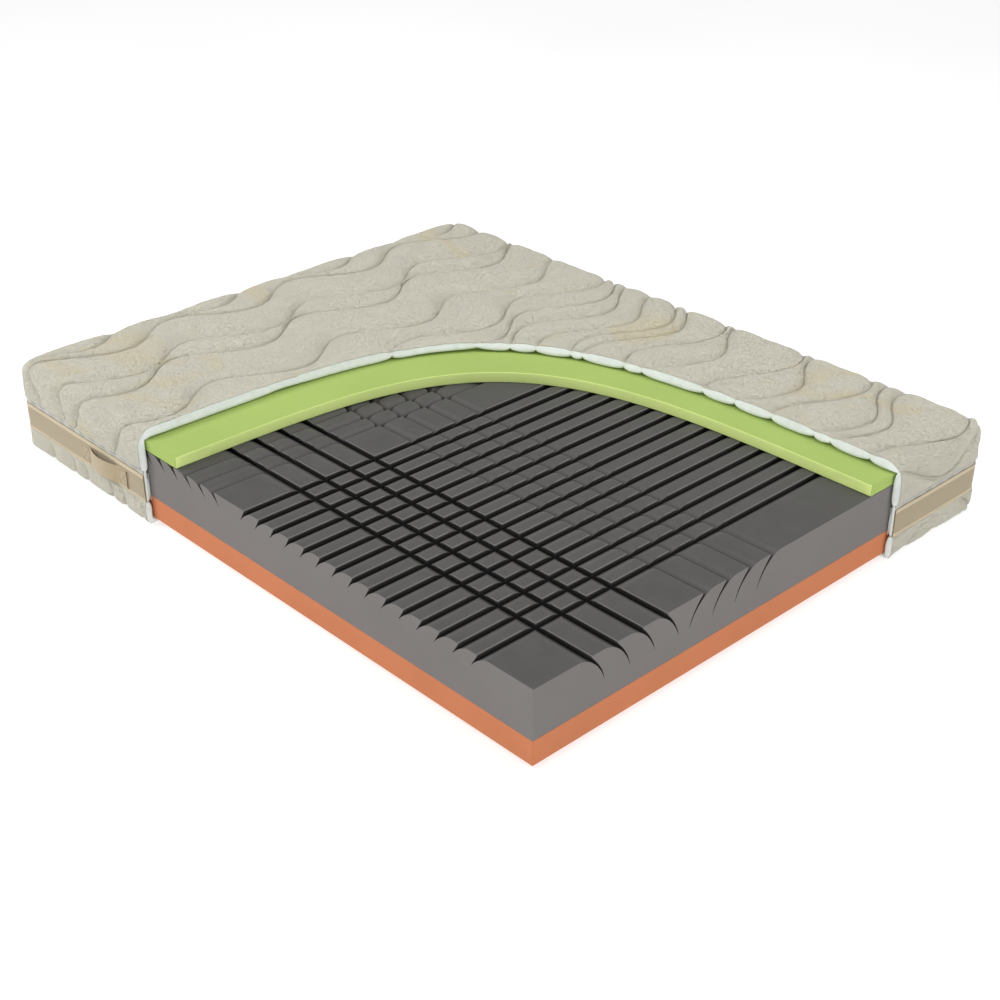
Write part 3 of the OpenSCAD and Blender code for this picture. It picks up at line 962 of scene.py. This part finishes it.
def make_core_foam():
    """Core with its slots taken out, and a finish each for skin, cut faces and lips. The lips' finish is
    a paler gray, a painted highlight.
    """
    finishes = [CORE_SKIN, CORE_CUT, CORE_LIP_HIGHLIGHT]
    block = foam_block("core_foam_block", CORE_LOW, CORE_HIGH, finishes)
    front_x, front_y = CORE_HIGH.x, CORE_LOW.y
    cross = [(front_x - first - CROSS_PITCH * i, lean)
             for first, count, lean in CROSS_GROUPS for i in range(count)]
    along = [(front_y + first + LONG_PITCH * i, lean)
             for first, count, lean in LONG_GROUPS for i in range(count)]
    cutters = [
        slot_cutters(CROSS_SLOT, cross, along_x=False),
        slot_cutters(LONG_SLOT, along, along_x=True),
    ]
    for cutter in cutters:
        cut = block.modifiers.new("slots", "BOOLEAN")
        cut.operation = "DIFFERENCE"
        cut.solver = "EXACT"
        cut.object = cutter
        apply_modifiers(block)
    for cutter in cutters:
        bpy.data.objects.remove(cutter)
    mesh = block.data
    for face in mesh.polygons:
        side = max(abs(face.normal.x) * (abs(abs(face.center.x) - front_x) < 2 * MM),
                   abs(face.normal.y) * (abs(abs(face.center.y) + front_y) < 2 * MM))
        lean_x = 1 if face.center.x > CROSS_MEET else -1
        lean_y = 1 if face.center.y > LONG_MEET else -1
        overhung = face.normal.x * lean_x > 0.2 or face.normal.y * lean_y > 0.2
        # The rounded lips overhanging a slot take the paler finish, a painted highlight.
        lip = overhung and face.normal.z > 0.1 and face.center.z > CORE_HIGH.z - LIP_ROUND
        face.material_index = 1 if side > 0.7 else 2 if lip else 0
    mesh.shade_smooth()
    shade_edges(mesh, off_level_faces)
    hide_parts("core_foam")


def off_level_faces(edge):
    """Whether an edge of the core is smooth: its flat top and cut faces stay flat."""
    level = any(max(abs(c) for c in face.normal) > 0.9999 for face in edge.link_faces)
    return bend(edge) < math.radians(32) and not (level and bend(edge) > 0.001)


def make_comfort_foam():
    """Sheet of memory foam with its own rounded cut at the corner."""
    x0, y0, z0 = COMFORT_LOW
    x1, y1, z1 = COMFORT_HIGH
    outline = []
    steps = 160
    for i in range(steps + 1):
        angle = math.pi / 2 * i / steps
        u = COMFORT_CUT[0] * math.cos(angle) ** (2 / CUT_POWER)
        v = COMFORT_CUT[1] * math.sin(angle) ** (2 / CUT_POWER)
        outline.append((FOAM_HIGH.x - u, FOAM_LOW.y + v))
    outline += [(x1, y1), (x0, y1), (x0, y0)]
    count = len(outline)
    verts = [(x, y, z0) for x, y in outline] + [(x, y, z1) for x, y in outline]
    faces = [tuple(range(count)), tuple(count + k for k in reversed(range(count)))]
    faces += [(k, count + k, count + (k + 1) % count, (k + 1) % count) for k in range(count)]
    piece = new_mesh("comfort_foam_sheet", verts, faces, "root",
                     [COMFORT_SKIN, COMFORT_CUT_PAINTED_LIGHT], smooth=False)
    soften(piece, 50)
    # The rounded cut face takes the paler green, painted light. Level faces and the outer sides keep the
    # skin.
    for face in piece.data.polygons:
        outer_side = face.center.x > x1 - 1 * MM or face.center.y < y0 + 1 * MM
        face.material_index = 0 if abs(face.normal.z) > 0.8 or outer_side else 1
    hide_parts("comfort_foam")


# ---------------------------------------------------------------- border: band, tapes and zip

def border_path(inset, step):
    """Way round the cover from one cut edge to the other, past the three whole corners.
    Returns places (x, y), directions outwards and distances along the way."""
    flat_l, flat_w = HALF_L - CORNER, HALF_W - CORNER
    radius = CORNER - inset
    legs = [
        ((CUT_LEFT, -flat_w - radius), (-flat_l, -flat_w - radius), (0, -1)),
        ((-flat_l - radius, -flat_w), (-flat_l - radius, flat_w), (-1, 0)),
        ((-flat_l, flat_w + radius), (flat_l, flat_w + radius), (0, 1)),
        ((flat_l + radius, flat_w), (flat_l + radius, CUT_RIGHT), (1, 0)),
    ]
    centres = [(-flat_l, -flat_w), (-flat_l, flat_w), (flat_l, flat_w)]
    places, outs = [], []
    for k, (start, end, out) in enumerate(legs):
        length = math.dist(start, end)
        steps = max(1, int(length / step))
        for i in range(steps + 1):
            t = i / steps
            places.append((start[0] + (end[0] - start[0]) * t, start[1] + (end[1] - start[1]) * t))
            outs.append(out)
        if k < 3:
            first = math.atan2(out[1], out[0])
            turns = max(4, int(CORNER * math.pi / 2 / step))
            for i in range(1, turns):
                angle = first - math.pi / 2 * i / turns
                out_now = (math.cos(angle), math.sin(angle))
                places.append((centres[k][0] + radius * out_now[0], centres[k][1] + radius * out_now[1]))
                outs.append(out_now)
    places, outs = np.array(places), np.array(outs)
    run = np.concatenate([[0], np.cumsum(np.linalg.norm(np.diff(places, axis=0), axis=1))])
    return places, outs, run


def sweep_border(name, section, material, stands_for, step=8 * MM, relief=None, dome=0.0):
    """Closed strip that follows the border. section is a closed outline of (inset, height),
    relief moves its points outwards, and dome swells the cut ends."""
    places, outs, run = border_path(0.0, step)
    rows, cols = len(places), len(section)
    inset = np.array([s[0] for s in section])
    height = np.array([s[1] for s in section])
    verts = np.zeros((rows, cols, 3))
    verts[:, :, 0] = places[:, None, 0] - outs[:, None, 0] * inset[None, :]
    verts[:, :, 1] = places[:, None, 1] - outs[:, None, 1] * inset[None, :]
    verts[:, :, 2] = height[None, :]
    if relief is not None:
        shift = relief(run[:, None] * np.ones(cols), np.ones((rows, 1)) * height, inset)
        verts[:, :, 0] += outs[:, None, 0] * shift
        verts[:, :, 1] += outs[:, None, 1] * shift
    caps = 5 if dome else 0
    middle = verts.mean(axis=1, keepdims=True)
    rings = list(verts)
    runs = list(run)
    for end, sign in ((0, -1), (-1, 1)):
        along = np.array([outs[end][1], -outs[end][0], 0.0]) * sign
        extra = []
        for k in range(1, caps + 1):
            angle = math.pi / 2 * k / (caps + 0.4)
            ring = middle[end] + (verts[end] - middle[end]) * math.cos(angle) ** 0.35
            extra.append(ring + along * dome * math.sin(angle))
        rings = rings + extra if end == -1 else extra[::-1] + rings
        runs = runs + [run[-1]] * caps if end == -1 else [run[0]] * caps + runs
    faces = tube_faces(len(rings), cols)
    piece = new_mesh(name, np.concatenate(rings), faces, "root", material, sharp_angle=50)
    fix_normals(piece.data)
    set_weave(piece, [(r, h, i) for r in runs for i, h in section])
    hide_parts(stands_for)
    return piece


def strip_section(inset, thickness, low, high, steps, crown=0.0):
    """Section of a flat strip, its outer face divided into steps and crowned."""
    outer = []
    for k in range(steps + 1):
        t = k / steps
        outer.append((inset - crown * math.sin(math.pi * t) ** 0.7, low + (high - low) * t))
    inner = [(inset + thickness, high), (inset + thickness, low)]
    return outer + inner


def ripple(amount, seed, outer_inset):
    """Soft waves of the outer face of a strip."""
    def shift(run, height, inset):
        points = np.stack([run, height * 1.6, np.zeros_like(run)], -1)
        waves = smooth_noise(points, 14, seed).reshape(run.shape)
        fine = smooth_noise(points, 45, seed + 1).reshape(run.shape)
        face = (inset <= outer_inset + 0.1 * MM)[None, :]
        return amount * (0.7 * waves + 0.3 * fine) * face
    return shift


def border_marks(inset, margin, pitch):
    """Evenly spaced places along the border, with their directions outwards."""
    places, outs, run = border_path(inset, 10 * MM)
    marks = np.arange(margin, run[-1] - margin, pitch)
    x, y, out_x, out_y = (np.interp(marks, run, values) for values in (*places.T, *outs.T))
    out = np.stack([out_x, out_y, np.zeros_like(x)], -1)
    return x, y, out / np.linalg.norm(out, axis=1, keepdims=True)


def border_stitches(name, heights, inset, pitch, length, material):
    """Rows of stitches that follow the border."""
    x, y, out = border_marks(inset, 4 * MM, pitch)
    along = np.stack([out[:, 1], -out[:, 0], np.zeros_like(x)], -1)
    spots = np.concatenate([np.stack([x, y, np.full_like(x, z)], -1) for z in heights])
    verts, faces = beads(spots, np.tile(along, (len(heights), 1)), np.tile(out, (len(heights), 1)),
                         length / 2, 0.45 * MM, 0.4 * MM)
    new_mesh(name, verts, faces, "root", material)


def make_border():
    """Mesh band with its binding tapes, wadding and backing, and the zip above it."""
    low, high = BAND_LOW.z, BAND_HIGH.z
    band = sweep_border("border_band_mesh",
                        strip_section(BAND_INSET, BAND_T, low, high, 10, BAND_CROWN),
                        MESH_CLOTH, "band_mesh", relief=ripple(1.2 * MM, 4, BAND_INSET))
    for node, part in (("band_upper_tape", "upper"), ("band_lower_tape", "lower")):
        tape_low, tape_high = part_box(node)
        inset = HALF_L - tape_high.x
        section = strip_section(inset, TAPE_T, tape_low.z, tape_high.z, 4, 0.4 * MM)
        sweep_border(f"border_{part}_tape", section, BINDING, node,
                     relief=ripple(0.4 * MM, 6, inset))
        rows = [tape_low.z + 2.2 * MM, tape_high.z - 2.2 * MM]
        border_stitches(f"border_{part}_tape_thread", rows, inset - 0.5 * MM, 3.6 * MM, 2.9 * MM,
                        PALE_THREAD)
    wad_low, wad_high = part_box("band_wadding")
    front = BAND_INSET + BAND_T
    depth = SIDE - front - BACKING_T
    outline = [(0.0, 0.42), (0.12, 0.72), (0.3, 0.95), (0.5, 1.0), (0.7, 0.95), (0.88, 0.72), (1.0, 0.45)]
    height = wad_high.z - wad_low.z
    section = [(front, wad_low.z + height * t) for t, _ in outline]
    section += [(front + 1.8 * MM, HEM - 1 * MM), (front + depth * 0.5, HEM + 1 * MM)]
    section += [(front + depth * full, wad_low.z + height * t) for t, full in reversed(outline)]
    wadding = sweep_border("border_band_wadding", section, WADDING,
                           "band_wadding", dome=0.5 * CUT_BULGE)
    backing = sweep_border("border_band_backing",
                           strip_section(SIDE - BACKING_T, BACKING_T, wad_low.z, wad_high.z, 3),
                           BACKING, "band_backing")
    run = float(border_path(0.0, 8 * MM)[2][-1])
    make_zip()


def make_zip():
    """Tapes with grey dashes of painted shadow, standing for the shadows of small gathers, and two chains
    of moulded coils.
    """
    for node in ("zip_upper_tape", "zip_lower_tape"):
        tape_low, tape_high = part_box(node)
        inset = HALF_L - tape_high.x
        name = node.replace("zip_", "border_zip_")
        tape_top = min(tape_high.z, HEM + 2 * MM)
        section = strip_section(inset, TAPE_T, tape_low.z, tape_top, 3)
        tape = sweep_border(name, section, [ZIP_TAPE, ZIP_SHADOW_DASH], node, step=4 * MM)
        # Part of each pitch of tape takes the grey dash finish, painted shadow of small gathers.
        for face in tape.data.polygons:
            run = face.center.x if abs(abs(face.center.y) - HALF_W) < SIDE else face.center.y
            face.material_index = 1 if (run / ZIP_DASH_PITCH) % 1 < ZIP_DASH_SHARE else 0
    stop_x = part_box("zip_stops")[0].x
    for node in ("zip_upper_coil", "zip_lower_coil"):
        coil_low, coil_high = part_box(node)
        inset = HALF_L - coil_high.x
        x, y, out = border_marks(inset + COIL_HALF, 1 * MM, COIL_PITCH)
        up = np.tile([0.0, 0.0, 1.0], (len(x), 1))
        z = np.full_like(x, (coil_low.z + coil_high.z) / 2)
        beyond_stop = (y > 0) & (x > stop_x - 1 * MM) & (x < HALF_L - CORNER * 0.5)
        spots = np.stack([x, y, z], -1)[~beyond_stop]
        verts, faces = beads(spots, up[~beyond_stop], out[~beyond_stop],
                             (coil_high.z - coil_low.z) / 2, 0.42 * COIL_PITCH, COIL_HALF)
        chain = new_mesh(node.replace("zip_", "border_zip_"), verts, faces, "root", ZIP_COIL)
        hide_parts(node)


# ---------------------------------------------------------------- handles

BAND_FACE = HALF_W - BAND_INSET          # distance of the band's face from the middle
FREE_HALF = 66 * MM                      # half the length of the free strap
SEWN = 46 * MM                           # length of each sewn end
SEWN_T = 3 * MM
BOW = 14 * MM                            # how far the strap stands off in its middle
STRAP_T = 2.4 * MM
BOX_MARGIN = 5 * MM
BOX_PITCH = 3.4 * MM


def stand_off(x):
    """Distance of the strap's inner face from the band, along its bow."""
    radius = (FREE_HALF ** 2 + BOW ** 2) / (2 * BOW)
    return math.sqrt(max(radius * radius - x * x, 0)) + BOW - radius


def strap_mesh(name, stations, x_mid, side, z_low, z_high):
    """Flat strap through (along, stand-off, thickness) stations, with rounded edges. Its
    last end is square to the band, so that two halves of a strap meet."""
    across = [-1, -0.96, -0.85, -0.5, 0, 0.5, 0.85, 0.96, 1]
    height = [0.35, 0.7, 1, 1, 1, 1, 1, 0.7, 0.35]
    z_mid, z_half = (z_low + z_high) / 2, (z_high - z_low) / 2
    ends = list(zip(across, height))
    section = [(a, 0.5 + 0.5 * h) for a, h in ends] + [(a, 0.5 - 0.5 * h) for a, h in reversed(ends)]
    verts = []
    for i, (along, off, thickness) in enumerate(stations):
        before = stations[max(i - 1, 0)]
        after = stations[min(i + 1, len(stations) - 1)]
        slope = math.atan((after[1] - before[1]) / (after[0] - before[0]))
        if i == len(stations) - 1:
            slope = 0.0
        for a, share in section:
            t = thickness * share
            out = BAND_FACE + off + t * math.cos(slope)
            verts.append((x_mid + along - t * math.sin(slope), side * out, z_mid + z_half * a))
    faces = tube_faces(len(stations), len(section))
    piece = new_mesh(name, verts, faces, None, WEBBING, sharp_angle=60)
    fix_normals(piece.data)
    set_weave(piece, [(s[0], z_half * a, 0) for s in stations for a in across + across[::-1]])
    return piece


def handle_stitches(name, stitches, side, off, sizes, thread):
    """Stitches on a handle, from (x, z) and the direction along the thread."""
    places = [(x, side * (BAND_FACE + SEWN_T + off), z) for x, z, _, _ in stitches]
    alongs = [(dx, 0, dz) for _, _, dx, dz in stitches]
    verts, faces = beads(places, alongs, [(0, side, 0)] * len(stitches), *sizes)
    piece = new_mesh(name, verts, faces, "root", thread)
    fix_normals(piece.data)
    return piece


def box_stitches(x_mid, end, z_low, z_high):
    """Stitches round a sewn end and across both its diagonals."""
    a0, a1 = FREE_HALF + BOX_MARGIN, FREE_HALF + SEWN - BOX_MARGIN
    b0, b1 = z_low + BOX_MARGIN, z_high - BOX_MARGIN
    corners = [(a0, b0), (a1, b0), (a1, b1), (a0, b1)]
    stitches = []
    for i, j in ((0, 1), (1, 2), (2, 3), (3, 0), (0, 2), (1, 3)):
        start, stop = corners[i], corners[j]
        da, dz = stop[0] - start[0], stop[1] - start[1]
        size = math.hypot(da, dz)
        count = max(2, int(size / BOX_PITCH))
        for k in range(count):
            t = (k + 0.5) / count
            stitches.append((x_mid + end * (start[0] + da * t), start[1] + dz * t,
                             end * da / size, dz / size))
    return stitches


def bartack_stitches(low, high):
    """Close zigzag of thread up the bartack."""
    stitches = []
    z = low.z + 0.6 * MM
    lean = 0.12
    while z < high.z - 0.6 * MM:
        stitches.append(((low.x + high.x) / 2, z, math.cos(lean), math.sin(lean)))
        lean = -lean
        z += 0.75 * MM
    return stitches


def make_handle(which):
    """One carrying handle: sewn ends, strap in two halves, box stitches and bartack."""
    low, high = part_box(f"handle_{which}_ends")
    side = 1 if high.y > 0 else -1
    x_mid = (low.x + high.x) / 2
    for end, label in ((-1, "a"), (1, "b")):
        stations = [(end * (FREE_HALF + SEWN * (1 - i / 8)), 0.0, SEWN_T) for i in range(9)]
        sewn = strap_mesh(f"handle_{which}_end_{label}", stations, x_mid, side, low.z, high.z)
        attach(sewn, "root")
        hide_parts(f"handle_{which}_ends")
        reach = [FREE_HALF * (1 - i / 20) for i in range(21)]
        stations = [(end * x, max(stand_off(x), 0.2 * MM), STRAP_T) for x in reach]
        half = strap_mesh(f"handle_{which}_strap_{label}", stations, x_mid, side, low.z, high.z)
        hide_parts(f"handle_{which}_strap")
        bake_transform(half)
        handle_stitches(f"handle_{which}_stitches_{label}", box_stitches(x_mid, end, low.z, high.z),
                        side, 0.1 * MM, (1.5 * MM, 0.9 * MM, 0.6 * MM), STITCH)
    tack = handle_stitches(f"handle_{which}_bartack_thread",
                           bartack_stitches(*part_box(f"handle_{which}_bartack")), side, 0.35 * MM,
                           (2.4 * MM, 0.5 * MM, 0.75 * MM), DARK_THREAD)
    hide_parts(f"handle_{which}_bartack")


# ---------------------------------------------------------------- camera, light and floor

def make_camera():
    """Camera fitted to the edges of the foam in the photo."""
    data = bpy.data.cameras.new("camera")
    data.lens = 59.6
    data.sensor_width = 36
    camera = add_object("camera", data)
    camera.location = (2.8468, -2.6332, 2.1293)
    camera.rotation_euler = (math.radians(60.36), 0, math.radians(46.63))
    bpy.context.scene.camera = camera


def make_light(name, location, size, power):
    """Round soft light that faces the mattress."""
    data = bpy.data.lights.new(name, "AREA")
    data.shape = "DISK"
    data.size = size
    data.energy = power
    lamp = add_object(name, data)
    lamp.location = location
    direction = Vector((0, 0, 0.1)) - Vector(location)
    lamp.rotation_euler = direction.to_track_quat("-Z", "Y").to_euler()


def make_studio():
    """Pale floor, lights and background."""
    n = Nodes("studio_floor", Roughness=0.9, Specular_IOR_Level=0.1, Emission_Strength=0.62)
    n.shader.inputs["Emission Color"].default_value = (1, 1, 1, 1)
    tone = n.ramp(n.noise(0.6, 2, 0.5), (0.3, (0.52, 0.52, 0.52)), (0.7, (0.56, 0.56, 0.56)))
    floor_finish = n.done(tone, n.bump(n.noise(120, 2, 0.5), 0.0005, 0.2))
    size, cells = 16.0, 8
    verts = [(size * (i / cells - 0.5), size * (j / cells - 0.5), -0.0005)
             for i in range(cells + 1) for j in range(cells + 1)]
    faces = [tuple(reversed(f)) for f in grid_faces(cells + 1, cells + 1)]
    mesh = plain_mesh("floor", verts, faces)
    mesh.materials.append(floor_finish)
    floor = add_object("floor", mesh)
    world = bpy.data.worlds.new("studio")
    bpy.context.scene.world = world
    world.use_nodes = True
    background = world.node_tree.nodes["Background"]
    background.inputs["Color"].default_value = (1, 1, 1, 1)
    background.inputs["Strength"].default_value = 0.5
    make_light("key", (-3.2, -3.0, 3.2), 1.8, 132)
    make_light("front", (2.6, -3.0, 1.8), 2.4, 26)
    make_light("fill", (3.8, 2.2, 2.6), 2.0, 52)
    make_light("top", (0.8, 0.6, 4.0), 2.6, 48)
    bpy.context.scene.view_settings.view_transform = "Standard"


# ---------------------------------------------------------------- the mattress

make_camera()
make_studio()
make_base_foam()
make_core_foam()
make_comfort_foam()

upper_profile = Profile(TOP, TOP_ROLL, HEM, up=True)
upper = lay_quilt(TOP_LINES, upper_profile, 9 * MM, 8 * MM, TOP_SINK, 1.0 * MM)
billow(upper)
make_quilt("upper_quilt", upper, "top")
quilting_thread("upper_quilt_thread", TOP_LINES, upper_profile, TOP_SINK)

lower_profile = Profile(FOAM_LOW.z - BOTTOM_T, BOTTOM_ROLL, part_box("lower_ticking")[1].z, up=False)
seam = lower_profile.flat + lower_profile.roll * math.pi / 4
lower = lay_quilt(LOWER_LINES, lower_profile, 12 * MM, 10 * MM, LOWER_SINK, 0.6 * MM, seam)
billow(lower)
make_quilt("lower_wall", lower, "lower", seam, wall=True)
make_quilt("bottom_quilt", lower, "bottom", seam, wall=False)
quilting_thread("lower_quilt_thread", LOWER_LINES, lower_profile, LOWER_SINK)

make_border()
for which in ("front", "left", "right"):
    make_handle(which)
for node in ("zip_slider", "zip_pull", "zip_stops"):
    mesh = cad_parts[node].data
    mesh.materials.clear()
    mesh.materials.append(METAL)

bpy.context.view_layer.update()
